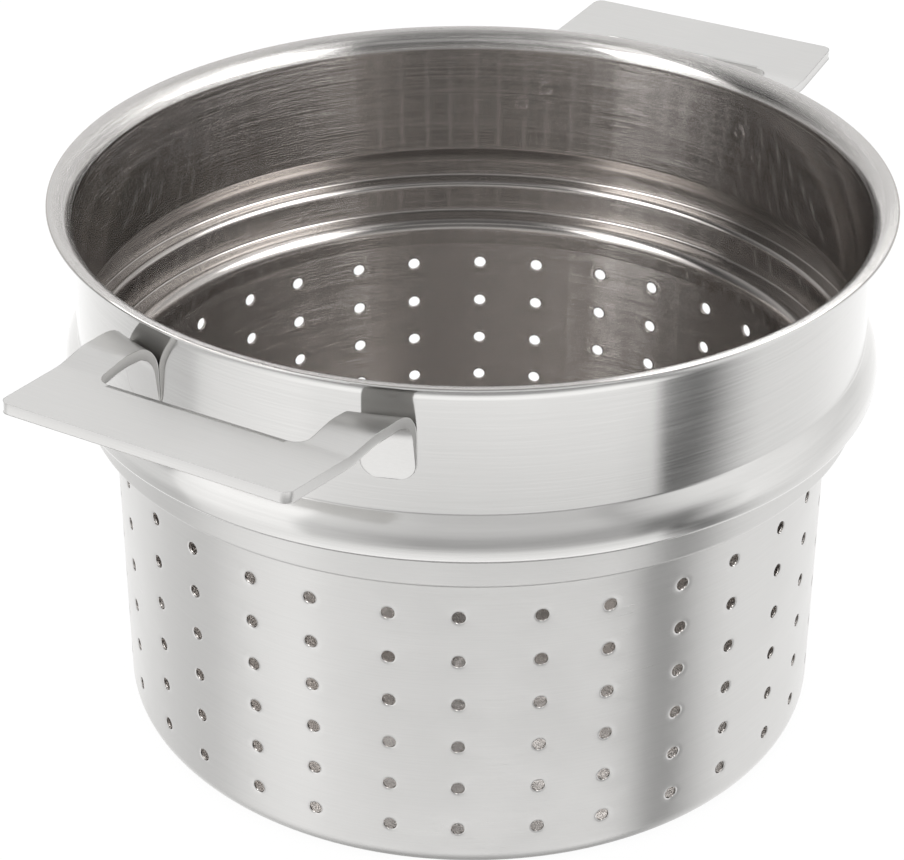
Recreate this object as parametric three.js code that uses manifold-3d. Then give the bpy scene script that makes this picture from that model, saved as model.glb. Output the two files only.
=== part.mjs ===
// Perforated steamer insert: a deep-drawn basket with a stepped collar and two welded plate handles.
// Millimetres, +Z up. The origin is the centre of the base's underside and the handles lie along X.
import * as THREE from 'three';
import { mergeGeometries, mergeVertices } from 'three/addons/utils/BufferGeometryUtils.js';
import Module from 'manifold-3d';

// Drawn body, outside sizes
const SHEET = 0.8;
const BASKET_RADIUS = 111;
const BASE_CORNER_RADIUS = 6.5;
const BASKET_HEIGHT = 105.3;
const LOWER_STEP = 8.5;
const LOWER_STEP_BEND = 5;
const NECK_HEIGHT = 11.2;
const UPPER_STEP = 5.1;
const UPPER_STEP_BEND = 2.6;
const STEP_EDGE_RADIUS = 1.6;
const BEAD_HEIGHT = 8.1;
const SHOULDER_STEP = 4.3;
const SHOULDER_RISE = 5;
const SHOULDER_RADIUS = 12;
const CREASE_RADIUS = 2;
const COLLAR_HEIGHT = 42.4;
const LIP_WIDTH = 6.8;
const LIP_BEND = 6.4;

// Perforations
const HOLE_DIAMETER = 4;
const HOLE_PAIRS = 16;
const PAIR_SPACING = 20.1;
const ROW_PITCH = 15;
const LOWEST_ROW = 15;
const PLAIN_BAND = 10;
const PATTERN_TURN = THREE.MathUtils.degToRad(0.56);
const BASE_RING_PITCH = 20;
const BASE_PLAIN_RIM = 8;
const HOLES_PER_RING_STEP = 6;

// Handles
const PLATE = 3.2;
const GRIP_WIDTH = 90.5;
const GRIP_DEPTH = 25.1;
const HANDLE_REACH = 48.3;
const GRIP_DROP = 6;
const VALLEY_REACH = 21.2;
const VALLEY_DROP = 8.5;
const VALLEY_RADIUS = 16;
const CREST_REACH = 10.2;
const CREST_DROP = 7.6;
const CREST_RADIUS = 22;
const FOOT_BEND = 10;
const FOOT_BEND_DROP = 9.5;
const FOOT_DROP = 32;
const FOOT_TIP = 1.3;
const FOOT_CORNER_RADIUS = 5;
const LEG_WIDTH = 14.6;
const LEG_SPLAY = 2;
const GRIP_CORNER_RADIUS = 3;
const OPENING_CORNER_RADIUS = 4.5;

// Spot welds
const WELD_DIAMETER = 5;
const WELD_DEPTH = 0.7;
const LOWER_WELD_DROP = 25.7;
const UPPER_WELD_DROP = 19.3;
const WELD_INSET = 3.9;

// Clearance between pieces that touch, and how finely round shapes are divided
const CLEARANCE = 0.3;
const FACETS_PER_PAIR = 3;
const HOLE_SIDES = 6;
const WELD_SIDES = 12;
const CHORD_ERROR = 0.4;
const HANDLE_STEPS = 28;
const CUT_MARGIN = 5;

// Finishes
const BODY_COLOUR = 0xc9c9c7;
const BODY_ROUGHNESS = 0.22;
const HANDLE_COLOUR = 0xcbcac8;
const HANDLE_ROUGHNESS = 0.36;
const WELD_COLOUR = 0xb4b3b0;
const WELD_ROUGHNESS = 0.4;

// Sizes that follow from those above
const neckRadius = BASKET_RADIUS + LOWER_STEP;
const beadRadius = neckRadius + UPPER_STEP;
const collarRadius = beadRadius - SHOULDER_STEP;
const rimRadius = collarRadius + LIP_WIDTH;
const upperLedge = BASKET_HEIGHT + NECK_HEIGHT;
const shoulderHeight = upperLedge + BEAD_HEIGHT;
const creaseHeight = shoulderHeight + SHOULDER_RISE;
const rimHeight = creaseHeight + COLLAR_HEIGHT;
const footFace = collarRadius + CLEARANCE;
const gripEdge = collarRadius + HANDLE_REACH;
const openingHalfWidth = GRIP_WIDTH / 2 + LEG_SPLAY - LEG_WIDTH;
const legMiddle = GRIP_WIDTH / 2 + LEG_SPLAY - LEG_WIDTH / 2;
const facets = HOLE_PAIRS * FACETS_PER_PAIR;

const wasm = await Module();
wasm.setup();

// A closed geometry as a solid that can be cut and joined. Triangles of no area on an axis are dropped.
function solidOf(geometry) {
  const bare = geometry.clone();
  bare.deleteAttribute('normal');
  bare.deleteAttribute('uv');
  const merged = mergeVertices(bare);
  const triVerts = [];
  for (let i = 0; i < merged.index.count; i += 3) {
    const corners = [0, 1, 2].map((k) => merged.index.getX(i + k));
    if (new Set(corners).size === 3) triVerts.push(...corners);
  }
  const mesh = new wasm.Mesh({
    numProp: 3,
    vertProperties: new Float32Array(merged.attributes.position.array),
    triVerts: new Uint32Array(triVerts),
  });
  return new wasm.Manifold(mesh);
}

function geometryOf(solid) {
  const { vertProperties, triVerts } = solid.getMesh();
  const geometry = new THREE.BufferGeometry();
  geometry.setAttribute('position', new THREE.BufferAttribute(vertProperties, 3));
  geometry.setIndex(new THREE.BufferAttribute(triVerts, 1));
  geometry.computeVertexNormals();
  return geometry;
}

// A line through corners [x, y, radius], with each radius as an arc that is limited by its neighbours.
function roundedLine(corners, closed) {
  const points = corners.map(([x, y]) => new THREE.Vector2(x, y));
  const count = points.length;
  const line = [];
  points.forEach((corner, i) => {
    const radius = corners[i][2] ?? 0;
    const isEnd = !closed && (i === 0 || i === count - 1);
    if (isEnd || radius === 0) {
      line.push(corner);
      return;
    }
    const back = points[(i + count - 1) % count].clone().sub(corner);
    const ahead = points[(i + 1) % count].clone().sub(corner);
    const room = 0.5 * Math.min(back.length(), ahead.length());
    back.normalize();
    ahead.normalize();
    const half = Math.acos(THREE.MathUtils.clamp(back.dot(ahead), -1, 1)) / 2;
    const tangent = Math.min(radius / Math.tan(half), room);
    const arcRadius = tangent * Math.tan(half);
    const toCentre = back.clone().add(ahead).setLength(arcRadius / Math.sin(half));
    const centre = corner.clone().add(toCentre);
    const start = back.clone().multiplyScalar(tangent).add(corner).sub(centre);
    const sweep = Math.sign(ahead.cross(back)) * (Math.PI - 2 * half);
    const chordAngle = 2 * Math.acos(Math.max(0, 1 - CHORD_ERROR / arcRadius));
    const steps = Math.ceil(Math.abs(sweep) / chordAngle);
    for (let k = 0; k <= steps; k += 1) {
      line.push(start.clone().rotateAround(new THREE.Vector2(), (sweep * k) / steps).add(centre));
    }
  });
  return line;
}

// An open line moved sideways, to the left of its direction for a positive distance.
function offsetLine(line, distance) {
  return line.map((point, i) => {
    const before = line[Math.max(i - 1, 0)];
    const after = line[Math.min(i + 1, line.length - 1)];
    const incoming = (i === 0 ? after.clone().sub(point) : point.clone().sub(before)).normalize();
    const outgoing = (i === line.length - 1 ? incoming : after.clone().sub(point).normalize());
    const middle = incoming.clone().add(outgoing).normalize();
    const left = new THREE.Vector2(-middle.y, middle.x);
    return left.multiplyScalar(distance / middle.dot(incoming)).add(point);
  });
}

// A profile of [radius, height] points turned round the Z axis, facets set between the hole columns.
function turned(profile) {
  const halfFacet = Math.PI / facets;
  return new THREE.LatheGeometry(profile, facets, halfFacet).rotateX(Math.PI / 2).rotateZ(PATTERN_TURN);
}

function steel(colour, roughness) {
  return new THREE.MeshStandardMaterial({ color: colour, roughness, metalness: 1 });
}

// The sheet's middle line, from the axis along the base, up the wall and out over the steps to the lip.
function sheetProfile() {
  const half = SHEET / 2;
  const middle = [
    [0, half],
    [BASKET_RADIUS - half, half, BASE_CORNER_RADIUS - half],
    [BASKET_RADIUS - half, BASKET_HEIGHT + half, LOWER_STEP_BEND - half],
    [neckRadius - half, BASKET_HEIGHT + half, STEP_EDGE_RADIUS - half],
    [neckRadius - half, upperLedge + half, UPPER_STEP_BEND - half],
    [beadRadius - half, upperLedge + half, STEP_EDGE_RADIUS - half],
    [beadRadius - half, shoulderHeight, SHOULDER_RADIUS - half],
    [collarRadius - half, creaseHeight, CREASE_RADIUS - half],
    [collarRadius - half, rimHeight - half, LIP_BEND + half],
    [rimRadius, rimHeight - half],
  ];
  const line = roundedLine(middle, false);
  const inner = offsetLine(line, half).reverse();
  return [...offsetLine(line, -half), ...inner];
}

// Round cutters for the perforations, all standing apart, as one geometry.
function perforationCutters() {
  const cutters = [];
  const radius = HOLE_DIAMETER / 2;
  const rows = 1 + Math.floor((BASKET_HEIGHT - PLAIN_BAND - LOWEST_ROW) / ROW_PITCH);
  const reach = BASE_CORNER_RADIUS + SHEET;
  const halfPair = PAIR_SPACING / 2 / BASKET_RADIUS;
  for (let pair = 0; pair < HOLE_PAIRS; pair += 1) {
    for (const side of [-1, 1]) {
      const angle = PATTERN_TURN + (2 * Math.PI * pair) / HOLE_PAIRS + side * halfPair;
      for (let row = 0; row < rows; row += 1) {
        const cutter = new THREE.CylinderGeometry(radius, radius, reach, HOLE_SIDES).rotateZ(Math.PI / 2);
        cutter.translate(BASKET_RADIUS, 0, LOWEST_ROW + row * ROW_PITCH).rotateZ(angle);
        cutters.push(cutter);
      }
    }
  }
  const rings = Math.floor((BASKET_RADIUS - BASE_CORNER_RADIUS - BASE_PLAIN_RIM) / BASE_RING_PITCH);
  for (let ring = 1; ring <= rings; ring += 1) {
    const holes = ring * HOLES_PER_RING_STEP;
    for (let hole = 0; hole < holes; hole += 1) {
      const cutter = new THREE.CylinderGeometry(radius, radius, reach, HOLE_SIDES).rotateX(Math.PI / 2);
      cutter.translate(ring * BASE_RING_PITCH, 0, 0).rotateZ((2 * Math.PI * hole) / holes);
      cutters.push(cutter);
    }
  }
  return mergeGeometries(cutters);
}

// Where the welds of one handle lie: [angle round the pot, height], for a handle along +X.
function weldPlaces() {
  const places = [];
  for (const side of [-1, 1]) {
    for (const [offset, drop] of [[WELD_INSET, LOWER_WELD_DROP], [-WELD_INSET, UPPER_WELD_DROP]]) {
      places.push([side * Math.asin((legMiddle + offset) / footFace), rimHeight - drop]);
    }
  }
  return places;
}

// A short round bar along the radius through a weld, from one radius out to another.
function weldBar(diameter, from, to) {
  const bar = new THREE.CylinderGeometry(diameter / 2, diameter / 2, to - from, WELD_SIDES);
  return bar.rotateZ(Math.PI / 2).translate((from + to) / 2, 0, 0);
}

function weldCutters(from, to) {
  const cutters = weldPlaces().map(([angle, height]) => (
    weldBar(WELD_DIAMETER + 2 * CLEARANCE, from, to).translate(0, 0, height).rotateZ(angle)
  ));
  return mergeGeometries(cutters);
}

function makeBody() {
  const welds = weldCutters(collarRadius - CUT_MARGIN, collarRadius + CUT_MARGIN);
  const body = solidOf(turned(sheetProfile()))
    .subtract(solidOf(perforationCutters()))
    .subtract(solidOf(welds))
    .subtract(solidOf(welds.clone().rotateZ(Math.PI)));
  const mesh = new THREE.Mesh(geometryOf(body), steel(BODY_COLOUR, BODY_ROUGHNESS));
  mesh.name = 'insert_body';
  return mesh;
}

// Distance from the axis, along the handle, of the face that the feet lie against at a place across it.
function footLine(across) {
  return Math.sqrt(footFace ** 2 - Math.min(Math.abs(across), footFace) ** 2);
}

// The plate's side outline at the middle of a leg: along its top to the foot's back, and home underneath.
function plateOutline() {
  const back = footLine(legMiddle);
  const foot = rimHeight - FOOT_DROP;
  const valley = collarRadius + VALLEY_REACH;
  const crest = collarRadius + CREST_REACH;
  const top = [
    [gripEdge, rimHeight - GRIP_DROP],
    [valley, rimHeight - VALLEY_DROP, VALLEY_RADIUS],
    [crest, rimHeight - CREST_DROP, CREST_RADIUS],
    [back, rimHeight - FOOT_BEND_DROP, FOOT_BEND],
    [back, foot],
  ];
  const underside = [
    [back + FOOT_TIP, foot],
    [back + PLATE, rimHeight - FOOT_BEND_DROP - PLATE, FOOT_BEND - PLATE],
    [crest, rimHeight - CREST_DROP - PLATE, CREST_RADIUS + PLATE],
    [valley, rimHeight - VALLEY_DROP - PLATE, VALLEY_RADIUS - PLATE],
    [gripEdge, rimHeight - GRIP_DROP - PLATE],
  ];
  return new THREE.Shape([...roundedLine(top, false), ...roundedLine(underside, false)]);
}

// The plate across the whole handle, with its feet drawn to the curve of the collar.
function curvedPlate() {
  const width = GRIP_WIDTH + 2 * LEG_SPLAY + 2 * CUT_MARGIN;
  const plate = new THREE.ExtrudeGeometry(plateOutline(), {
    depth: width, steps: HANDLE_STEPS, bevelEnabled: false,
  });
  plate.rotateX(Math.PI / 2).translate(0, width / 2, 0);
  const places = plate.attributes.position;
  const straight = collarRadius + CREST_REACH;
  const back = footLine(legMiddle);
  for (let i = 0; i < places.count; i += 1) {
    const along = places.getX(i);
    const drawn = THREE.MathUtils.smoothstep(straight - along, 0, straight - back - PLATE);
    places.setX(i, along + drawn * (footLine(places.getY(i)) - back));
  }
  return plate;
}

// Seen from above: the grip, the opening for the fingers and the two legs.
function planPrism() {
  const edge = GRIP_WIDTH / 2;
  const wall = edge + LEG_SPLAY;
  const inside = footLine(wall) - CUT_MARGIN;
  const bar = gripEdge - GRIP_DEPTH;
  const outline = roundedLine([
    [inside, -wall],
    [gripEdge, -edge, GRIP_CORNER_RADIUS],
    [gripEdge, edge, GRIP_CORNER_RADIUS],
    [inside, wall],
    [inside, openingHalfWidth],
    [bar, openingHalfWidth, OPENING_CORNER_RADIUS],
    [bar, -openingHalfWidth, OPENING_CORNER_RADIUS],
    [inside, -openingHalfWidth],
  ], true);
  const height = FOOT_DROP + 2 * CUT_MARGIN;
  return new THREE.ExtrudeGeometry(new THREE.Shape(outline), { depth: height, bevelEnabled: false })
    .translate(0, 0, rimHeight - FOOT_DROP - CUT_MARGIN);
}

// Seen from the handle's end: the two rounded feet below the plate.
function endPrism() {
  const wall = GRIP_WIDTH / 2 + LEG_SPLAY;
  const top = rimHeight + CUT_MARGIN;
  const foot = rimHeight - FOOT_DROP;
  const underPlate = rimHeight - VALLEY_DROP - PLATE - CUT_MARGIN;
  const outline = roundedLine([
    [-wall, top],
    [-wall, foot, FOOT_CORNER_RADIUS],
    [-openingHalfWidth, foot, FOOT_CORNER_RADIUS],
    [-openingHalfWidth, underPlate],
    [openingHalfWidth, underPlate],
    [openingHalfWidth, foot, FOOT_CORNER_RADIUS],
    [wall, foot, FOOT_CORNER_RADIUS],
    [wall, top],
  ], true);
  const reach = gripEdge + CUT_MARGIN;
  return new THREE.ExtrudeGeometry(new THREE.Shape(outline), { depth: reach, bevelEnabled: false })
    .rotateX(Math.PI / 2)
    .rotateZ(Math.PI / 2);
}

function handleGeometry() {
  const pockets = weldCutters(collarRadius - CUT_MARGIN, footFace + WELD_DEPTH + CLEARANCE);
  const handle = solidOf(curvedPlate())
    .intersect(solidOf(planPrism()))
    .intersect(solidOf(endPrism()))
    .subtract(solidOf(pockets));
  return geometryOf(handle);
}

// A handle and its four welds, along +X before its group is turned to its side of the pot.
function makeHandle(name, turn, geometry) {
  const group = new THREE.Group();
  const plate = new THREE.Mesh(geometry, steel(HANDLE_COLOUR, HANDLE_ROUGHNESS));
  plate.name = name;
  group.add(plate);
  weldPlaces().forEach(([angle, height], i) => {
    const nugget = weldBar(WELD_DIAMETER, collarRadius - SHEET, footFace + WELD_DEPTH);
    const weld = new THREE.Mesh(nugget, steel(WELD_COLOUR, WELD_ROUGHNESS));
    weld.name = `${name}_weld_${i + 1}`;
    weld.position.z = height;
    weld.rotation.z = angle;
    group.add(weld);
  });
  group.rotation.z = turn;
  return group;
}

const insert = new THREE.Group();
const plate = handleGeometry();
insert.add(makeBody());
insert.add(makeHandle('right_handle', 0, plate));
insert.add(makeHandle('left_handle', Math.PI, plate));

export default insert;
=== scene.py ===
"""The finished look of a perforated steamer insert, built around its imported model."""

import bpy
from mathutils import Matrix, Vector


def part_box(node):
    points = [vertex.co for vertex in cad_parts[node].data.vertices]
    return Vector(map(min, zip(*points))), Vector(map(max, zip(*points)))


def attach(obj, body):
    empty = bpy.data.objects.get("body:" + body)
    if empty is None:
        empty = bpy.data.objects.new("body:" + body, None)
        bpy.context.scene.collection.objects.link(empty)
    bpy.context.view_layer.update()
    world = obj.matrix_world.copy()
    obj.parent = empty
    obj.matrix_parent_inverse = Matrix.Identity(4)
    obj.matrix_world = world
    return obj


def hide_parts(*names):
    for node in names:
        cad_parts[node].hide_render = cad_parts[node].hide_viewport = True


bl_info = {
    "name": "Steamer Insert",
    "version": (1, 0, 0),
    "blender": (4, 5, 0),
    "location": "View3D > Sidebar > Insert",
    "description": "Perforated steel insert with a stepped collar and two welded plate handles",
    "category": "Add Mesh",
}

import math
from collections import namedtuple

import bmesh
import bpy
from bpy.props import FloatProperty, FloatVectorProperty, IntProperty, PointerProperty
from mathutils import Matrix, Vector

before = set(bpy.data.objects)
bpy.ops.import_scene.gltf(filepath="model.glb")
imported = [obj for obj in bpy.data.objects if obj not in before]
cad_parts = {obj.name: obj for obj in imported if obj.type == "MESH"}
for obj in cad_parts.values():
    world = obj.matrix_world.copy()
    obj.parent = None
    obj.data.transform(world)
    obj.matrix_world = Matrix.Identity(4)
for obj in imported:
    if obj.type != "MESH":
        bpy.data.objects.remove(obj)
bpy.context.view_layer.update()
BODY_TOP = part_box("insert_body")[1]
HANDLE_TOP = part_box("right_handle")[1]

BODY = "root"
WELDS_PER_HANDLE = 4
# How far the handles stay inside the box of the solids
BOX_MARGIN = 0.00001
# Points nearer to each other than this are one point
WELD_DISTANCE = 1e-5

# Finishes of the body, stored by number on its points until they become materials
FINISH = "finish"
FINISHES = ("Satin", "Polished", "Collar", "Bend", "Inside", "Lip")
SATIN, POLISHED, COLLAR, BEND, INSIDE, LIP = map(float, range(len(FINISHES)))
# Half the step from one finish number to the next
HALF_STEP = 0.5


# Sizes and finishes that a user may change

def length(name, description, default):
    """A length in metres for a property group."""
    return FloatProperty(name=name, description=description, default=default, unit="LENGTH", precision=5)


def whole(name, description, default, least=1):
    """A whole number for a property group."""
    return IntProperty(name=name, description=description, default=default, min=least)


def degrees(name, description, default):
    """An angle for a property group, with its default in degrees."""
    return FloatProperty(name=name, description=description, default=math.radians(default), subtype="ANGLE")


def amount(name, description, default):
    """A share from 0 to 1 for a property group."""
    return FloatProperty(name=name, description=description, default=default, min=0, max=1,
                         subtype="FACTOR")


def colour(name, description, default):
    """A colour for a property group."""
    return FloatVectorProperty(name=name, description=description, default=default, size=3, min=0, max=1,
                               subtype="COLOR")


class InsertBodySizes(bpy.types.PropertyGroup):
    """The drawn body's outside sizes"""

    sheet: length("Sheet", "Thickness of the drawn sheet", 0.0008)
    basket_radius: length("Basket Radius", "Outside radius of the perforated basket", 0.111)
    base_corner: length("Base Corner", "Radius between base and wall", 0.0065)
    basket_height: length("Basket Height", "Height of the lower step", 0.1053)
    lower_step: length("Lower Step", "How far the neck stands out from the basket", 0.0085)
    lower_bend: length("Lower Bend", "Radius under the lower step", 0.005)
    neck_height: length("Neck Height", "Height of the neck between the steps", 0.0112)
    upper_step: length("Upper Step", "How far the bead stands out from the neck", 0.0051)
    upper_bend: length("Upper Bend", "Radius under the upper step", 0.0026)
    step_edge: length("Step Edge", "Outside radius of both steps", 0.0016)
    bead_height: length("Bead Height", "Height from the upper step to the shoulder", 0.0081)
    shoulder_step: length("Shoulder Step", "How far the shoulder draws in to the collar", 0.0043)
    shoulder_rise: length("Shoulder Rise", "Height of the shoulder", 0.005)
    shoulder_radius: length("Shoulder Radius", "Radius over the bead", 0.012)
    crease: length("Crease", "Radius at the foot of the collar", 0.002)
    rim_radius: length("Rim Radius", "Outside radius of the flared lip", BODY_TOP.y)
    lip_bend: length("Lip Bend", "Radius under the lip", 0.0062)
    height: length("Height", "Height of the rim", BODY_TOP.z)


class PerforationSizes(bpy.types.PropertyGroup):
    """The perforations of the wall and the base"""

    diameter: length("Diameter", "Diameter of a hole", 0.004)
    pairs: whole("Pairs", "Pairs of hole columns round the wall", 16, least=3)
    pair_spacing: length("Pair Spacing", "Distance between the two columns of a pair", 0.0201)
    rows: whole("Rows", "Rows of holes up the wall", 6)
    row_pitch: length("Row Pitch", "Distance between rows", 0.015)
    lowest_row: length("Lowest Row", "Height of the lowest row", 0.015)
    turn: degrees("Turn", "Turn of the pattern", 0.56)
    dish_radius: length("Dish Radius", "Radius that the punch has drawn in round a hole", 0.0040)
    dish_depth: length("Dish Depth", "How far the sheet is drawn in at a hole", 0.00006)
    edge_round: length("Edge Round", "Rounding of a hole's edges", 0.00014)
    base_rings: whole("Base Rings", "Rings of holes in the base", 4)
    base_pitch: length("Base Pitch", "Distance between the rings of the base", 0.02)
    ring_step: whole("Ring Step", "Holes that each ring gains", 6, least=3)


class HandleSizes(bpy.types.PropertyGroup):
    """The two plate handles"""

    plate: length("Plate", "Thickness of the plate", 0.0032)
    grip_width: length("Grip Width", "Width at the outer edge", 0.0905)
    grip_depth: length("Grip Depth", "Depth of the bar that the hand holds", 0.0251)
    edge: length("Edge", "Distance of the outer edge from the axis", HANDLE_TOP.x - BOX_MARGIN)
    grip_drop: length("Grip Drop", "Drop of the outer edge below the rim", 0.006)
    valley_reach: length("Valley Reach", "Distance of the valley from the collar", 0.0212)
    valley_drop: length("Valley Drop", "Drop of the valley below the rim", 0.0085)
    valley_radius: length("Valley Radius", "Radius of the valley", 0.016)
    crest_reach: length("Crest Reach", "Distance of the crest from the collar", 0.0102)
    crest_drop: length("Crest Drop", "Drop of the crest below the rim", 0.0076)
    crest_radius: length("Crest Radius", "Radius of the crest", 0.022)
    foot_bend: length("Foot Bend", "Outside radius where the foot turns down", 0.01)
    foot_bend_drop: length("Foot Bend Drop", "Drop of that bend below the rim", 0.0095)
    foot_drop: length("Foot Drop", "Drop of the foot's end below the rim", 0.032)
    foot_tip: length("Foot Tip", "Thickness of the foot's end", 0.00012)
    foot_corner: length("Foot Corner", "Corner radius of the foot", 0.005)
    leg_width: length("Leg Width", "Width of a leg", 0.0146)
    leg_splay: length("Leg Splay", "How far each side widens towards the collar", 0.002)
    grip_corner: length("Grip Corner", "Corner radius of the grip", 0.003)
    opening_corner: length("Opening Corner", "Corner radius of the finger opening", 0.0045)
    edge_round: length("Edge Round", "Rounding of the plate's edges", 0.00018)
    clearance: length("Clearance", "Gap between foot and collar", 0.00008)


class WeldSizes(bpy.types.PropertyGroup):
    """The marks of the spot welds on the inside of the collar"""

    radius: length("Radius", "Radius of the metal that a weld has disturbed", 0.0042)
    crater: length("Crater", "Radius of the pressed crater", 0.0013)
    swell: length("Swell", "Height of the swollen ring", 0.00012)
    inset: length("Inset", "Distance of a weld from the middle of its leg", 0.0039)
    lower_drop: length("Lower Drop", "Drop of the lower weld below the rim", 0.0257)
    upper_drop: length("Upper Drop", "Drop of the upper weld below the rim", 0.0193)


class SteelFinish(bpy.types.PropertyGroup):
    """Colours and gloss of the steel"""

    steel: colour("Steel", "Colour of the outside and the handles", (0.66, 0.654, 0.643))
    dark_steel: colour("Dark Steel", "Colour in their brush lines", (0.62, 0.614, 0.603))
    # The inside is the same steel as the outside; its darker, warmer colours are painted shade of the deep
    # interior
    shaded_inside_steel: colour("Shaded Inside Steel", "Colour of the inside", (0.475, 0.451, 0.433))
    dark_shaded_inside_steel: colour("Dark Shaded Inside Steel", "Colour in its brush lines", (0.438, 0.416, 0.398))
    # The lip's inside is the same steel too; its colours, darker than the outside, are painted shade that
    # tones down its highlights
    shaded_lip_steel: colour("Shaded Lip Steel", "Colour of the inside of the lip", (0.56, 0.544, 0.53))
    dark_shaded_lip_steel: colour("Dark Shaded Lip Steel", "Colour in its brush lines", (0.52, 0.506, 0.492))
    satin: amount("Satin", "Roughness of the basket and the neck", 0.32)
    polished: amount("Polished", "Roughness of the collar, the bead and the bends inside", 0.16)
    inside: amount("Inside", "Roughness of the inside and the lip", 0.1)
    handle: amount("Handle", "Roughness of the handles", 0.34)


class StudioSettings(bpy.types.PropertyGroup):
    """Camera and floor"""

    camera: FloatVectorProperty(name="Camera", description="Place of the camera", size=3,
                                default=(-0.60695, -0.34659, 0.49565), subtype="TRANSLATION", precision=5)
    azimuth: degrees("Azimuth", "Direction from the object to the camera", -149.79)
    elevation: degrees("Elevation", "How far the camera looks down", 30.389)
    roll: degrees("Roll", "Turn about the line of sight", 0.2)
    lens: FloatProperty(name="Lens", description="Focal length", default=101.87, subtype="DISTANCE_CAMERA")
    floor_size: length("Floor Size", "Side of the square floor", 8.0)
    floor: colour("Floor", "Colour of the floor", (0.93, 0.93, 0.93))


class InsertSettings(bpy.types.PropertyGroup):
    """Everything that the insert's operators read"""

    body: PointerProperty(type=InsertBodySizes)
    holes: PointerProperty(type=PerforationSizes)
    handle: PointerProperty(type=HandleSizes)
    weld: PointerProperty(type=WeldSizes)
    finish: PointerProperty(type=SteelFinish)
    studio: PointerProperty(type=StudioSettings)


# Lines and meshes

ARC_STEP = math.radians(7)
# A face that points up or down more than this is part of a flat and is shaded as one
LEVEL_FACE = 0.99999


def rounded_line(corners, arc_step=ARC_STEP):
    """Points along an open line through corners (x, y, radius), each radius drawn as an arc."""
    points = [Vector(corner[:2]) for corner in corners]
    line = [points[0]]
    for i in range(1, len(points) - 1):
        corner, radius = points[i], corners[i][2]
        back = (points[i - 1] - corner).normalized()
        ahead = (points[i + 1] - corner).normalized()
        half = back.angle(ahead) / 2
        centre = corner + (back + ahead).normalized() * radius / math.sin(half)
        start = corner + back * radius / math.tan(half) - centre
        sweep = math.copysign(math.pi - 2 * half, ahead.x * back.y - ahead.y * back.x)
        steps = max(2, math.ceil(abs(sweep) / arc_step))
        for k in range(steps + 1):
            turn = Matrix.Rotation(sweep * k / steps, 2)
            line.append(centre + turn @ start)
    line.append(points[-1])
    apart = [after for before, after in zip(line, line[1:]) if (after - before).length > WELD_DISTANCE]
    return line[:1] + apart


def line_normals(line):
    """Unit normals to the left of an open line."""
    normals = []
    for i in range(len(line)):
        along = (line[min(i + 1, len(line) - 1)] - line[max(i - 1, 0)]).normalized()
        normals.append(Vector((-along.y, along.x)))
    return normals


def offset_line(line, distance):
    """An open line moved to its left."""
    return [point + normal * distance for point, normal in zip(line, line_normals(line))]


def bounded(value):
    """A value kept between 0 and 1."""
    return min(1.0, max(0.0, value))


def smooth_step(value):
    """A smooth change from 0 to 1 as a value goes from 0 to 1."""
    value = bounded(value)
    return value * value * (3 - 2 * value)


def line_mesh(name, points, finishes):
    """A chain of edges in the XZ plane, each point with the number of its finish."""
    mesh = bpy.data.meshes.new(name)
    edges = [(i, i + 1) for i in range(len(points) - 1)]
    mesh.from_pydata([(point.x, 0, point.y) for point in points], edges, [])
    mesh.attributes.new(FINISH, "FLOAT", "POINT").data.foreach_set("value", finishes)
    return mesh


def finished_mesh(name, bm):
    """The mesh of a finished set of faces, which is then freed."""
    mesh = bpy.data.meshes.new(name)
    bm.to_mesh(mesh)
    bm.free()
    return mesh


def new_object(name, data):
    """A new object in the scene."""
    thing = bpy.data.objects.new(name, data)
    bpy.context.scene.collection.objects.link(thing)
    return thing


def place_piece(name, mesh, nodes):
    """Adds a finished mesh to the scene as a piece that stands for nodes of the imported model."""
    mesh.name = name
    for face in mesh.polygons:
        face.use_smooth = abs(face.normal.z) < LEVEL_FACE
    piece = new_object(name, mesh)
    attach(piece, BODY)
    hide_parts(*nodes)


def joined_mesh(name, meshes):
    """One mesh of several that meet edge to edge, each face keeping its material."""
    bm = bmesh.new()
    materials = []
    for mesh in meshes:
        first = len(bm.faces)
        bm.from_mesh(mesh)
        bm.faces.ensure_lookup_table()
        for face in bm.faces[first:]:
            material = mesh.materials[face.material_index]
            if material not in materials:
                materials.append(material)
            face.material_index = materials.index(material)
        bpy.data.meshes.remove(mesh)
    bmesh.ops.remove_doubles(bm, verts=bm.verts, dist=WELD_DISTANCE)
    bmesh.ops.recalc_face_normals(bm, faces=bm.faces)
    open_edges = sum(1 for edge in bm.edges if not edge.is_manifold)
    if open_edges:
        raise RuntimeError(f"{name} has {open_edges} open edges")
    mesh = finished_mesh(name, bm)
    for material in materials:
        mesh.materials.append(material)
    return mesh


# Node trees

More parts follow.
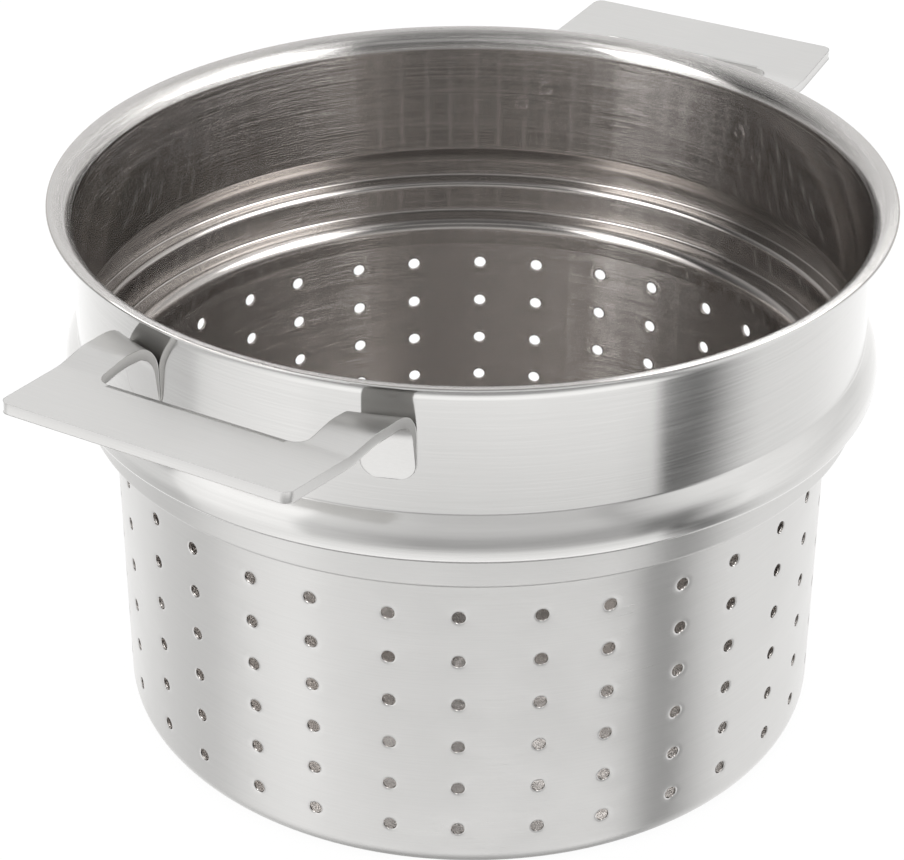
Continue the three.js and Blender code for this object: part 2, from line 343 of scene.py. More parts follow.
class NodeWriter:
    """Adds nodes to one tree and joins them."""

    def __init__(self, tree):
        self.tree = tree

    def feed(self, socket, value):
        """Joins an input to another socket, or gives it a value."""
        if isinstance(value, bpy.types.NodeSocket):
            self.tree.links.new(value, socket)
        else:
            socket.default_value = value

    def add(self, kind, inputs=None, **settings):
        """A new node, with its inputs by name or number."""
        node = self.tree.nodes.new(kind)
        for name, value in settings.items():
            setattr(node, name, value)
        for key, value in (inputs or {}).items():
            if isinstance(key, str):
                self.feed(next(s for s in node.inputs if s.enabled and s.name == key), value)
            else:
                self.feed(node.inputs[key], value)
        return node

    def made(self, kind, inputs=None, output=0, **settings):
        """One output of a new node, by name or number."""
        return self.add(kind, inputs, **settings).outputs[output]

    def math(self, operation, *values):
        """The result of a sum on numbers or sockets."""
        return self.made("ShaderNodeMath", dict(enumerate(values)), operation=operation)

    def plus(self, first, second):
        """Two numbers or sockets added."""
        return self.math("ADD", first, second)

    def times(self, first, second):
        """Two numbers or sockets multiplied."""
        return self.math("MULTIPLY", first, second)

    def vector(self, x=0.0, y=0.0, z=0.0):
        """A vector of three numbers or sockets."""
        return self.made("ShaderNodeCombineXYZ", {"X": x, "Y": y, "Z": z})

    def parts(self, vector):
        """The three numbers of a vector."""
        return self.add("ShaderNodeSeparateXYZ", {0: vector}).outputs

    def reach(self, x, y):
        """The distance from the axis."""
        return self.math("SQRT", self.plus(self.times(x, x), self.times(y, y)))

    def mixed(self, factor, first, second):
        """A colour between two others."""
        inputs = {"Factor": factor, "A": first, "B": second}
        return self.made("ShaderNodeMix", inputs, "Result", data_type="RGBA")

    def ranged(self, value, span, target=(0.0, 1.0), **settings):
        """A value carried over from one span to another and kept inside it."""
        inputs = dict(zip(("Value", "From Min", "From Max", "To Min", "To Max"), (value, *span, *target)))
        return self.made("ShaderNodeMapRange", inputs, **settings)


class ShapeTree(NodeWriter):
    """A Geometry Nodes tree with named inputs, ending in realized geometry with its finishes."""

    def __init__(self, name, inputs):
        super().__init__(bpy.data.node_groups.new(name, "GeometryNodeTree"))
        new_socket = self.tree.interface.new_socket
        new_socket("Geometry", in_out="INPUT", socket_type="NodeSocketGeometry")
        for label, kind in {**inputs, **dict.fromkeys(FINISHES, "Material")}.items():
            new_socket(label, in_out="INPUT", socket_type=f"NodeSocket{kind}")
        new_socket("Geometry", in_out="OUTPUT", socket_type="NodeSocketGeometry")
        self.given = self.add("NodeGroupInput").outputs

    def place(self):
        """Where a point lies."""
        return self.made("GeometryNodeInputPosition")

    def stored_finish(self):
        """The finish number stored on the points."""
        kind = "GeometryNodeInputNamedAttribute"
        return self.made(kind, {"Name": FINISH}, "Attribute", data_type="FLOAT")

    def store_finish(self, geometry, value):
        """The geometry with a finish number on its points."""
        inputs = {"Geometry": geometry, "Name": FINISH, "Value": value}
        return self.made("GeometryNodeStoreNamedAttribute", inputs, data_type="FLOAT", domain="POINT")

    def rolled(self, geometry, turn, radius, height):
        """The geometry with its points set round the axis."""
        x = self.times(radius, self.math("COSINE", turn))
        y = self.times(radius, self.math("SINE", turn))
        inputs = {"Geometry": geometry, "Position": self.vector(x, y, height)}
        return self.made("GeometryNodeSetPosition", inputs)

    def copies(self, points, instance, **more):
        """The instance on each point."""
        return self.made("GeometryNodeInstanceOnPoints", {"Points": points, "Instance": instance, **more})

    def realized(self, geometry):
        """The geometry with its instances made real."""
        return self.made("GeometryNodeRealizeInstances", {"Geometry": geometry})

    def joined(self, parts):
        """Several geometries as one."""
        node = self.add("GeometryNodeJoinGeometry")
        for part in parts:
            self.tree.links.new(part, node.inputs[0])
        return node.outputs[0]

    def finish(self, geometry):
        """Realizes and merges the geometry, sets its materials by finish number and puts it out."""
        merging = {"Geometry": self.realized(geometry), "Distance": WELD_DISTANCE}
        geometry = self.made("GeometryNodeMergeByDistance", merging)
        for number, label in enumerate(FINISHES):
            chosen = self.math("GREATER_THAN", self.stored_finish(), number - HALF_STEP)
            inputs = {"Geometry": geometry, "Selection": chosen, "Material": self.given[label]}
            geometry = self.made("GeometryNodeSetMaterial", inputs)
        self.add("NodeGroupOutput", {"Geometry": geometry})
        return self.tree


def shaped(name, source, tree, values):
    """The plain mesh that a tree makes from a source mesh."""
    holder = new_object(name, source)
    modifier = holder.modifiers.new(name, "NODES")
    modifier.node_group = tree
    for item in tree.interface.items_tree:
        if item.in_out == "INPUT" and item.name in values:
            modifier[item.identifier] = values[item.name]
    graph = bpy.context.evaluated_depsgraph_get()
    mesh = bpy.data.meshes.new_from_object(holder.evaluated_get(graph), depsgraph=graph)
    holder.modifiers.remove(modifier)
    bpy.data.objects.remove(holder)
    bpy.data.meshes.remove(source)
    if not mesh.polygons:
        raise RuntimeError(f"{name} came out empty")
    return mesh


def turned_tree():
    """A chain of edges turned round the Z axis."""
    tree = ShapeTree("Turned Sheet", {"Segments": "Int", "Turn": "Float"})
    profile, segments = tree.given["Geometry"], tree.given["Segments"]
    rows = tree.made("GeometryNodeAttributeDomainSize", {"Geometry": profile}, "Point Count")
    grid = tree.made("GeometryNodeMeshGrid", {"Vertices X": tree.plus(segments, 1), "Vertices Y": rows})
    index = tree.made("GeometryNodeInputIndex")
    along = tree.math("FLOORED_MODULO", index, rows)
    around = tree.math("FLOOR", tree.math("DIVIDE", index, rows))

    def of_profile(value, data_type):
        inputs = {"Geometry": profile, "Value": value, "Index": along}
        return tree.made("GeometryNodeSampleIndex", inputs, data_type=data_type)

    grid = tree.store_finish(grid, of_profile(tree.stored_finish(), "FLOAT"))
    radius, _, height = tree.parts(of_profile(tree.place(), "FLOAT_VECTOR"))
    turn = tree.times(tree.math("DIVIDE", around, segments), math.tau)
    return tree.finish(tree.rolled(grid, tree.plus(turn, tree.given["Turn"]), radius, height))


def perforated_wall_tree():
    """Flat pairs of holes laid out in columns and rows, then rolled into a wall."""
    tree = ShapeTree("Perforated Wall", {
        "Pairs": "Int", "Rows": "Int", "Row Pitch": "Float", "Lowest Row": "Float", "Radius": "Float",
        "Turn": "Float",
    })
    given = tree.given
    row_points = tree.made("GeometryNodeMeshLine", {
        "Count": given["Rows"], "Start Location": tree.vector(z=given["Lowest Row"]),
        "Offset": tree.vector(z=given["Row Pitch"]),
    })
    girth = tree.times(given["Radius"], math.tau)
    pair_points = tree.made("GeometryNodeMeshLine", {
        "Count": given["Pairs"], "Offset": tree.vector(x=tree.math("DIVIDE", girth, given["Pairs"])),
    })
    column = tree.copies(row_points, given["Geometry"])
    sheet = tree.realized(tree.copies(pair_points, column))
    along, depth, height = tree.parts(tree.place())
    turn = tree.plus(tree.math("DIVIDE", along, given["Radius"]), given["Turn"])
    return tree.finish(tree.rolled(sheet, turn, tree.plus(given["Radius"], depth), height))


# What tells the faces of the flat base apart: those past this share of its radius that are steeper than
# this slope close its edge and are left out, and those over half its thickness are the inside
RIM_SHARE = 0.999
STEEP_FACE = 0.5
MIDDLE = 0.5


def perforated_base_tree(rings):
    """A flat disc with rings of round holes, and the walls of those holes."""
    tree = ShapeTree("Perforated Base", {
        "Radius": "Float", "Segments": "Int", "Turn": "Float", "Sheet": "Float", "Hole Radius": "Float",
        "Hole Sides": "Int", "Ring Pitch": "Float", "Ring Step": "Int",
    })
    given = tree.given

    def circle(sides, radius):
        inputs = {"Resolution": given[sides], "Radius": given[radius]}
        return tree.made("GeometryNodeCurvePrimitiveCircle", inputs)

    rim = {"Geometry": circle("Segments", "Radius"), "Rotation": tree.vector(z=given["Turn"])}
    outlines = [tree.made("GeometryNodeTransform", rim)]
    hole = circle("Hole Sides", "Hole Radius")
    for ring in range(1, rings + 1):
        points = tree.made("GeometryNodeMeshCircle", {
            "Vertices": tree.times(given["Ring Step"], ring),
            "Radius": tree.times(given["Ring Pitch"], ring),
        })
        outlines.append(tree.copies(points, hole))
    disc = tree.made("GeometryNodeFillCurve", {"Curve": tree.realized(tree.joined(outlines))})
    raised = tree.made("GeometryNodeExtrudeMesh", {
        "Mesh": disc, "Offset": tree.vector(z=1.0), "Offset Scale": given["Sheet"], "Individual": False,
    }, mode="FACES")
    plate = tree.joined([raised, tree.made("GeometryNodeFlipFaces", {"Mesh": disc})])
    x, y, height = tree.parts(tree.place())
    at_rim = tree.math("GREATER_THAN", tree.reach(x, y), tree.times(given["Radius"], RIM_SHARE))
    slope = tree.math("ABSOLUTE", tree.parts(tree.made("GeometryNodeInputNormal"))[2])
    rim_wall = tree.times(at_rim, tree.math("LESS_THAN", slope, STEEP_FACE))
    inputs = {"Geometry": plate, "Selection": rim_wall}
    plate = tree.made("GeometryNodeDeleteGeometry", inputs, domain="FACE")
    top = tree.math("GREATER_THAN", height, tree.times(given["Sheet"], MIDDLE))
    return tree.finish(tree.store_finish(plate, tree.times(top, INSIDE)))


def marks_tree():
    """A weld mark set on each point, facing the axis."""
    tree = ShapeTree("Weld Marks", {"Mark": "Object"})
    mark = tree.made("GeometryNodeObjectInfo", {"Object": tree.given["Mark"]}, "Geometry")
    x, y, _ = tree.parts(tree.place())
    inward = tree.vector(tree.times(x, -1.0), tree.times(y, -1.0))
    facing = tree.made("FunctionNodeAlignRotationToVector", {"Vector": inward}, axis="Z")
    return tree.finish(tree.copies(tree.given["Geometry"], mark, Rotation=facing))


# The drawn body

SEGMENTS_PER_HOLE = 6
ROWS_PER_HOLE = 4
HOLE_SIDES = 2 * (SEGMENTS_PER_HOLE + ROWS_PER_HOLE)
BASE_HOLE_SIDES = 24
# Inside, a stretch of the collar that leans more than this is a bend
BEND_SLOPE = 0.15
# Turns of the points round the lip's edge, in radians from level
LIP_EDGE_TURNS = (-1.0, -0.5, 0.0, 0.5, 1.0)
# Where the rings of a dish lie between its hole's edge and its border, and the middle ring on that edge
DISH_SHARES = (1.0, 0.55, 0.25)
EDGE_SHARE = 0.3
# Share of the dish that the edge itself sinks
EDGE_SINK = 0.1


def middle_line(body, top_of_wall):
    """The middle of the sheet from the top of the perforated wall to the lip's edge."""
    half = body.sheet / 2
    neck = body.basket_radius + body.lower_step
    bead = neck + body.upper_step
    collar = bead - body.shoulder_step
    ledge = body.basket_height + body.neck_height
    shoulder = ledge + body.bead_height
    return rounded_line([
        (body.basket_radius - half, top_of_wall),
        (body.basket_radius - half, body.basket_height + half, body.lower_bend - half),
        (neck - half, body.basket_height + half, body.step_edge - half),
        (neck - half, ledge + half, body.upper_bend - half),
        (bead - half, ledge + half, body.step_edge - half),
        (bead - half, shoulder, body.shoulder_radius - half),
        (collar - half, shoulder + body.shoulder_rise, body.crease - half),
        (collar - half, body.height - half, body.lip_bend + half),
        (body.rim_radius - half, body.height - half),
    ])


def collar_mesh(body, top_of_wall):
    """The chain of edges from the wall's outside over the lip to the wall's inside."""
    half = body.sheet / 2
    middle = middle_line(body, top_of_wall)
    outside = offset_line(middle, -half)
    inside = offset_line(middle, half)
    edge = [middle[-1] + Vector((math.cos(turn), math.sin(turn))) * half for turn in LIP_EDGE_TURNS]
    satin_top = body.basket_height + body.neck_height - body.upper_bend
    lip_foot = body.height - 2 * body.lip_bend
    finishes = [SATIN if point.y < satin_top else POLISHED for point in outside]
    finishes += [POLISHED] * len(edge)
    for point, normal in reversed(list(zip(middle, line_normals(middle)))):
        bent = LIP if point.y > lip_foot else BEND
        finishes.append(bent if abs(normal.y) > BEND_SLOPE else COLLAR)
    return line_mesh("collar line", outside + edge + inside[::-1], finishes)


def corner_mesh(body, wall_start, inset, finish):
    """The chain of edges from the flat of the base round the corner to the foot of the wall."""
    reach = body.basket_radius - inset
    line = rounded_line([
        (body.basket_radius - body.base_corner, inset),
        (reach, inset, body.base_corner - inset),
        (reach, wall_start),
    ])
    return line_mesh("corner line", line, [finish] * len(line))


def hole_rings(holes, sheet):
    """Rings (radius, depth, finish) from the outside of the sheet through a hole to the inside."""
    radius = holes.diameter / 2
    edge = holes.edge_round
    rings = []
    for share in DISH_SHARES:
        reach = radius + edge + (holes.dish_radius - radius - edge) * share
        rings.append((reach, -holes.dish_depth * smooth_step(1 - share), SATIN))
    inner = [(reach, depth - sheet, INSIDE) for reach, depth, _ in reversed(rings)]
    start = rings[-1][1] - holes.dish_depth * EDGE_SINK
    end = inner[0][1]
    rings.append((radius + edge * EDGE_SHARE, start - edge * EDGE_SHARE, SATIN))
    rings.append((radius, start - edge, SATIN))
    rings.append((radius, end + edge, INSIDE))
    rings.append((radius + edge * EDGE_SHARE, end + edge * EDGE_SHARE, INSIDE))
    return rings + inner


def hole_pair_mesh(body, holes):
    """A flat stretch of wall with two holes: x along the wall, y outwards and z up."""
    cell = math.pi * body.basket_radius / holes.pairs
    rise = holes.row_pitch / 2
    bm = bmesh.new()
    layer = bm.verts.layers.float.new(FINISH)

    def ring_of(points, depth, finish):
        ring = [bm.verts.new((x, depth, z)) for x, z in points]
        for vert in ring:
            vert[layer] = finish
        return ring

    corner_turn = math.pi * ROWS_PER_HOLE / HOLE_SIDES
    turns = [corner_turn + math.tau * k / HOLE_SIDES for k in range(HOLE_SIDES)]
    for side in (-1, 1):
        left, right = sorted((0.0, side * cell))
        centre = side * holes.pair_spacing / 2
        border = [(right + (left - right) * k / SEGMENTS_PER_HOLE, rise) for k in range(SEGMENTS_PER_HOLE)]
        border += [(left, rise - 2 * rise * k / ROWS_PER_HOLE) for k in range(ROWS_PER_HOLE)]
        border += [(left + (right - left) * k / SEGMENTS_PER_HOLE, -rise) for k in range(SEGMENTS_PER_HOLE)]
        border += [(right, 2 * rise * k / ROWS_PER_HOLE - rise) for k in range(ROWS_PER_HOLE)]
        rings = [ring_of(border, 0.0, SATIN)]
        for radius, depth, finish in hole_rings(holes, body.sheet):
            circle = [(centre + radius * math.cos(turn), radius * math.sin(turn)) for turn in turns]
            rings.append(ring_of(circle, depth, finish))
        rings.append(ring_of(border, -body.sheet, INSIDE))
        for outer, inner in zip(rings, rings[1:]):
            for k in range(HOLE_SIDES):
                after = (k + 1) % HOLE_SIDES
                bm.faces.new((outer[k], outer[after], inner[after], inner[k]))
    return finished_mesh("hole pair", bm)


def body_mesh(settings, finishes):
    """The whole drawn body as one closed mesh."""
    body, holes = settings.body, settings.holes
    wall_start = holes.lowest_row - holes.row_pitch / 2
    wall_end = wall_start + holes.rows * holes.row_pitch
    turned = turned_tree()
    turning = {"Segments": 2 * holes.pairs * SEGMENTS_PER_HOLE, "Turn": holes.turn, **finishes}
    wall = {
        "Pairs": holes.pairs, "Rows": holes.rows, "Row Pitch": holes.row_pitch,
        "Lowest Row": holes.lowest_row, "Radius": body.basket_radius, **turning,
    }
    base = {
        "Radius": body.basket_radius - body.base_corner, "Sheet": body.sheet,
        "Hole Radius": holes.diameter / 2, "Hole Sides": BASE_HOLE_SIDES,
        "Ring Pitch": holes.base_pitch, "Ring Step": holes.ring_step, **turning,
    }
    return joined_mesh("insert body", [
        shaped("wall", hole_pair_mesh(body, holes), perforated_wall_tree(), wall),
        shaped("corner outside", corner_mesh(body, wall_start, 0.0, SATIN), turned, turning),
        shaped("corner inside", corner_mesh(body, wall_start, body.sheet, INSIDE), turned, turning),
        shaped("collar", collar_mesh(body, wall_end), turned, turning),
        shaped("base", bpy.data.meshes.new("base"), perforated_base_tree(holes.base_rings), base),
    ])


# The handles

# Where a leg is divided across, closer at its edges
LEG_COLUMNS = (0.0, 0.015, 0.1, 0.3, 0.5, 0.7, 0.9, 0.985, 1.0)
GRIP_COLUMNS = 12
STATION_PITCH = 0.0018
CORNER_STEPS = 6
EDGE_STEPS = 4
# An edge is rounded over no more than this share of the plate's thickness
EDGE_LIMIT = 0.45
FINE_ARC = math.radians(2)


class PlateBlank:
    """The flat blank of a handle, with x from the outer edge towards the foot and y across."""

    def __init__(self, settings):
        handle = settings.handle
        body = settings.body
        self.handle = handle
        self.collar = body.basket_radius + body.lower_step + body.upper_step - body.shoulder_step
        self.foot_face = self.collar + handle.clearance
        self.wide = handle.grip_width / 2
        self.leg_outside = self.wide + handle.leg_splay
        self.leg_inside = self.leg_outside - handle.leg_width
        self.leg_middle = (self.leg_outside + self.leg_inside) / 2
        self.back = self.foot_line(self.leg_middle)
        self.top = self.top_line(body.height)
        self.normals = line_normals(self.top)
        self.lengths = [0.0]
        for before, after in zip(self.top, self.top[1:]):
            self.lengths.append(self.lengths[-1] + (after - before).length)
        self.end = self.lengths[-1]
        self.opening = self.length_at(handle.edge - handle.grip_depth)
        self.foot_start = self.length_at(self.back + handle.foot_bend / 2)
        self.splay_end = self.length_at(self.back + handle.foot_bend)

    def top_line(self, rim):
        """The side outline of the upper face, from the outer edge to the foot's end."""
        handle = self.handle
        fall = handle.valley_drop - handle.grip_drop
        lean = handle.plate * fall / math.hypot(fall, handle.edge - self.collar - handle.valley_reach)
        return rounded_line([
            (handle.edge - lean + handle.edge_round, rim - handle.grip_drop),
            (self.collar + handle.valley_reach, rim - handle.valley_drop, handle.valley_radius),
            (self.collar + handle.crest_reach, rim - handle.crest_drop, handle.crest_radius),
            (self.back, rim - handle.foot_bend_drop, handle.foot_bend),
            (self.back, rim - handle.foot_drop),
        ], FINE_ARC)

    def foot_line(self, across):
        """Distance from the axis of the face that the feet lie against."""
        return math.sqrt(self.foot_face ** 2 - min(abs(across), self.foot_face) ** 2)

    def length_at(self, reach):
        """Length along the upper face where it is that far from the axis."""
        for i, (before, after) in enumerate(zip(self.top, self.top[1:])):
            if after.x <= reach <= before.x and after.x < before.x:
                share = (before.x - reach) / (before.x - after.x)
                return self.lengths[i] + share * (after - before).length
        raise RuntimeError("the handle doesn't reach that far")

    def section(self, along):
        """Point and normal of the upper face at a length, carried on straight past its ends."""
        last = len(self.top) - 2
        i = next((k for k in range(last) if along < self.lengths[k + 1]), last)
        share = (along - self.lengths[i]) / (self.lengths[i + 1] - self.lengths[i])
        point = self.top[i].lerp(self.top[i + 1], share)
        return point, self.normals[i].lerp(self.normals[i + 1], bounded(share)).normalized()

    def thickness(self, along):
        """The plate's thickness, drawn down towards the foot's end."""
        handle = self.handle
        share = (along - self.foot_start) / (self.end - self.foot_start)
        return handle.plate + (handle.foot_tip - handle.plate) * bounded(share)

    def place(self, along, across, depth):
        """Where a point of the blank lies on the bent plate, at a depth below its upper face."""
        point, normal = self.section(along)
        point = point + normal * depth
        straight = self.collar + self.handle.crest_reach
        drawn = smooth_step((straight - point.x) / (straight - self.back - self.handle.plate))
        return Vector((point.x + drawn * (self.foot_line(across) - self.back), across, point.y))

    def outer(self, along, inset):
        """Half the blank's width at a length, drawn in by the inset."""
        handle = self.handle
        half = self.wide + handle.leg_splay * min(1.0, along / self.splay_end) - inset
        for corner, distance in ((handle.grip_corner, along), (handle.foot_corner, self.end - along)):
            half -= corner_cut(corner - inset, distance - inset)
        return half

    def inner(self, along, inset):
        """Half the width between the legs at a length, with the inset taken from the legs."""
        handle = self.handle
        half = self.leg_inside + inset
        half += corner_cut(handle.foot_corner - inset, self.end - along - inset)
        half -= corner_cut(handle.opening_corner + inset, along - self.opening + inset)
        return half

    def stations(self, inset):
        """Lengths at which the blank is divided, closer in its corners."""
        handle = self.handle
        bends = [
            (inset, handle.grip_corner - inset, 1),
            (self.opening - inset, handle.opening_corner + inset, 1),
            (self.end - inset, handle.foot_corner - inset, -1),
        ]
        places = []
        for start, radius, way in bends:
            for k in range(CORNER_STEPS + 1):
                places.append(start + way * radius * (1 - math.cos(math.pi / 2 * k / CORNER_STEPS)))
        for k in range(1, math.floor(self.end / STATION_PITCH)):
            along = k * STATION_PITCH
            if all(abs(along - (start + way * radius / 2)) > radius / 2 + STATION_PITCH / 2
                   for start, radius, way in bends):
                places.append(along)
        return sorted(places)


def corner_cut(radius, distance):
    """How far a rounded corner of a radius draws in at a distance from its end."""
    missing = max(0.0, radius - max(0.0, distance))
    return radius - math.sqrt(max(0.0, radius ** 2 - missing ** 2))


def blank_grid(blank, inset):
    """Points of the flat blank and the faces between them."""
    points, faces = [], []

    def row_of(places):
        points.extend(places)
        return list(range(len(points) - len(places), len(points)))

    before = None
    for along in blank.stations(inset):
        outside, between = blank.outer(along, inset), blank.inner(along, inset)
        leg = [between + (outside - between) * share for share in LEG_COLUMNS]
        left = row_of([(along, -across) for across in reversed(leg)])
        right = row_of([(along, across) for across in leg])
        middle = None
        if along <= blank.opening - inset + WELD_DISTANCE:
            spaces = [between * (2 * k / GRIP_COLUMNS - 1) for k in range(1, GRIP_COLUMNS)]
            middle = [left[-1]] + row_of([(along, across) for across in spaces]) + [right[0]]
        strips = (left, right, middle)
        if before:
            for old, new in zip(before, strips):
                if old and new:
                    faces += [(old[k], old[k + 1], new[k + 1], new[k]) for k in range(len(new) - 1)]
        before = strips
    return points, faces


def border_of(faces):
    """The points round the border of a sheet of faces, each with the point after it."""
    edges = dict.fromkeys((a, b) for face in faces for a, b in zip(face, face[1:] + face[:1]))
    return {a: b for a, b in edges if (b, a) not in edges}


def handle_mesh(settings, material):
    """A bent plate with rounded edges, along +X."""
    blank = PlateBlank(settings)
    edge_round = settings.handle.edge_round
    points, faces = blank_grid(blank, edge_round)
    bm = bmesh.new()
    upper = [bm.verts.new(blank.place(along, across, 0.0)) for along, across in points]
    lower = [bm.verts.new(blank.place(along, across, blank.thickness(along))) for along, across in points]
    for face in faces:
        bm.faces.new([upper[k] for k in face])
        bm.faces.new([lower[k] for k in reversed(face)])
    border = border_of(faces)
    came_from = {b: a for a, b in border.items()}
    rims = {}
    for k, after in border.items():
        here, ahead, behind = Vector(points[k]), Vector(points[after]), Vector(points[came_from[k]])
        along = ((ahead - here).normalized() + (here - behind).normalized()).normalized()
        outward = Vector((along.y, -along.x))
        thickness = blank.thickness(here.x)
        edge_depth = min(edge_round, EDGE_LIMIT * thickness)
        ring = [upper[k]]
        for step in [*range(1, EDGE_STEPS + 1), *range(-EDGE_STEPS, 0)]:
            turn = math.pi / 2 * step / EDGE_STEPS
            flat = here + outward * edge_round * abs(math.sin(turn))
            depth = edge_depth * (1 - math.cos(turn))
            ring.append(bm.verts.new(blank.place(flat.x, flat.y, depth if step > 0 else thickness - depth)))
        rims[k] = ring + [lower[k]]
    for k, after in border.items():
        for row in range(len(rims[k]) - 1):
            bm.faces.new((rims[k][row], rims[k][row + 1], rims[after][row + 1], rims[after][row]))
    bmesh.ops.recalc_face_normals(bm, faces=bm.faces)
    mesh = finished_mesh("handle", bm)
    mesh.materials.append(material)
    return mesh


# The weld marks

MARK_SEGMENTS = 24
MARK_DEPTH = 0.0004
MARK_EDGE = 0.0001
# A pressed crater, a swollen ring and a feathered edge, as shares of the crater's radius and of the swell
MARK_SHAPE = ((0.0, -0.4), (0.5, -0.3), (0.85, 0.2), (1.15, 0.9), (1.5, 1.0), (2.1, 0.55), (2.7, 0.15))


def mark_line(weld):
    """Half the section of a weld mark."""
    points = [(weld.crater * reach, weld.swell * rise) for reach, rise in MARK_SHAPE]
    points += [(weld.radius, -MARK_EDGE), (weld.radius, -MARK_DEPTH), (0.0, -MARK_DEPTH)]
    return line_mesh("mark line", [Vector(point) for point in points], [COLLAR] * len(points))


def weld_places(settings, side):
    """Where one handle is welded to the inside of the collar, with side 1 along +X and -1 along -X."""
    weld, body = settings.weld, settings.body
    blank = PlateBlank(settings)
    inside = side * (blank.collar - body.sheet)
    places = []
    for leg in (-1, 1):
        for offset, drop in ((weld.inset, weld.lower_drop), (-weld.inset, weld.upper_drop)):
            turn = leg * math.asin((blank.leg_middle + offset) / blank.foot_face)
            places.append((inside * math.cos(turn), inside * math.sin(turn), body.height - drop))
    return places


# Steel

BRUSHED_OUTPUTS = ("Lines", "Ridges", "Drift")
FINE_LINES = {"Scale": 1.0, "Detail": 3.0, "Roughness": 0.7}
COARSE_LINES = {"Scale": 1.0, "Detail": 2.0}
# Coarse lines are broader than fine ones, and count for what the share of the fine ones leaves
COARSE_STRETCH = (1.0, 1.0, 0.13)
FINE_SHARE = 0.92
SOFT_DRIFT = {"Scale": 28.0, "Detail": 2.0}
# The span of line heights over which colour and gloss change
LINE_SPAN = (0.3, 0.7)
# Share of a pixel over which a bump is measured, small enough for fine brushing
BUMP_FILTER = 0.016
# A quarter of a turn draws the gloss out across the lines
GLOSS_TURN = 0.25


def object_place(nodes):
    """Where a point of the surface lies on its object."""
    return nodes.made("ShaderNodeTexCoord", output="Object")


def turned_place(nodes, stretch, density):
    """Places drawn out round the axis, so that lines run round the body and in rings on its base."""
    x, y, z = nodes.parts(object_place(nodes))
    across = nodes.plus(nodes.reach(x, y), z)
    return nodes.vector(nodes.times(x, stretch), nodes.times(y, stretch), nodes.times(across, density))


def plate_place(nodes, stretch, density):
    """Places drawn out across the handles, so that lines run along the grip."""
    x, y, z = nodes.parts(object_place(nodes))
    return nodes.vector(nodes.times(z, density), nodes.times(y, stretch), nodes.times(x, density))


# How the steel is brushed: the way that places are drawn out, waves to a metre along the lines and across
# them, how much the gloss varies, the ridges' height, where a line starts to be a ridge, and how far the
# gloss is drawn out across the lines
Brushing = namedtuple("Brushing", "place stretch density spread grain start anisotropy")
SATIN_BRUSHING = Brushing(turned_place, 40.0, 2400.0, 0.05, 4e-5, 0.4, 0.85)
POLISHED_BRUSHING = Brushing(turned_place, 25.0, 1800.0, 0.03, 1.2e-5, 0.5, 0.9)
BEND_BRUSHING = POLISHED_BRUSHING._replace(grain=4e-6)
INSIDE_BRUSHING = Brushing(turned_place, 8.0, 26000.0, 0.015, 4.2e-5, 0.34, 1.0)
COLLAR_BRUSHING = INSIDE_BRUSHING._replace(start=0.51)
HANDLE_BRUSHING = Brushing(plate_place, 60.0, 2600.0, 0.04, 5e-6, 0.5, 0.0)

# The collar, bend and inside materials take the inside colours with their painted shade, and the lip
# material takes the lip colours with theirs
MATERIAL_NAMES = {
    "Satin": "Satin Basket", "Polished": "Polished Collar", "Collar": "Brushed Collar",
    "Bend": "Inside Bends", "Inside": "Brushed Inside", "Lip": "Brushed Lip", "Handle": "Satin Handle",
}


def brushed_lines_group():
    """Fine lines, the ridges of those over a start height and a soft drift, from places drawn out."""
    group = bpy.data.node_groups.new("Brushed Lines", "ShaderNodeTree")
    group.interface.new_socket("Place", in_out="INPUT", socket_type="NodeSocketVector")
    group.interface.new_socket("Start", in_out="INPUT", socket_type="NodeSocketFloat")
    for label in BRUSHED_OUTPUTS:
        group.interface.new_socket(label, in_out="OUTPUT", socket_type="NodeSocketFloat")
    nodes = NodeWriter(group)
    given = nodes.add("NodeGroupInput").outputs
    broad = nodes.made("ShaderNodeVectorMath", {0: given["Place"], 1: COARSE_STRETCH}, operation="MULTIPLY")
    fine = nodes.made("ShaderNodeTexNoise", {"Vector": given["Place"], **FINE_LINES})
    coarse = nodes.made("ShaderNodeTexNoise", {"Vector": broad, **COARSE_LINES})
    drift = nodes.made("ShaderNodeTexNoise", {"Vector": object_place(nodes), **SOFT_DRIFT})
    lines = nodes.plus(nodes.times(fine, FINE_SHARE), nodes.times(coarse, 1 - FINE_SHARE))
    ridges = nodes.math("MAXIMUM", nodes.math("SUBTRACT", lines, given["Start"]), 0.0)
    nodes.add("NodeGroupOutput", dict(zip(BRUSHED_OUTPUTS, (lines, ridges, drift))))
    return group


def new_material(name):
    """A new material, the writer of its nodes and its shader."""
    material = bpy.data.materials.new(name)
    material.use_nodes = True
    return material, NodeWriter(material.node_tree), material.node_tree.nodes["Principled BSDF"]


